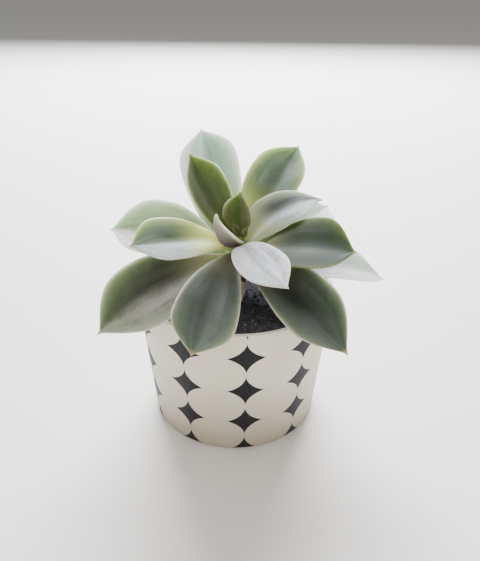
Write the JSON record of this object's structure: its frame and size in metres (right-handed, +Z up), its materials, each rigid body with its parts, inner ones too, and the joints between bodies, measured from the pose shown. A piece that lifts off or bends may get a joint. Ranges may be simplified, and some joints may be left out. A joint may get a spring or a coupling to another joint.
{
  "type": "potted echeveria",
  "caption": "Small rosette succulent with fleshy spoon-shaped leaves, rooted in dark soil in a tapered pot with a pattern of touching ovals.",
  "frame": {"origin": "middle of the pot's flat underside, on the surface it stands on", "axes": "+Z up along the pot's axis; -Y towards the viewer of the picture, +X to the viewer's right"},
  "size_m": [0.0935, 0.098, 0.0893],
  "materials": {
    "pot_finish": "satin cream with charcoal star-shaped gaps between touching ovals",
    "soil": "damp dark peat with pale grains",
    "bark": "rough, with leaf scars",
    "leaf": "waxy grey-green bloom with pale margins",
    "young_leaf": "waxy fresh green",
    "dry_leaf": "papery dry brown"
  },
  "bodies": {
    "root": {"pot": "pot_finish", "potting_soil": "soil", "stem": "bark", "leaf_01": "leaf", "leaf_02": "leaf", "leaf_03": "leaf", "leaf_04": "leaf", "leaf_05": "leaf", "leaf_06": "leaf", "leaf_07": "leaf", "leaf_08": "leaf", "leaf_09": "leaf", "leaf_10": "leaf", "leaf_11": "leaf", "leaf_12": "leaf", "leaf_13": "leaf", "leaf_15": "leaf", "leaf_21": "leaf", "heart_leaf_1": "young_leaf", "heart_leaf_2": "young_leaf", "withered_leaf": "dry_leaf"}
  },
  "joints": []
}
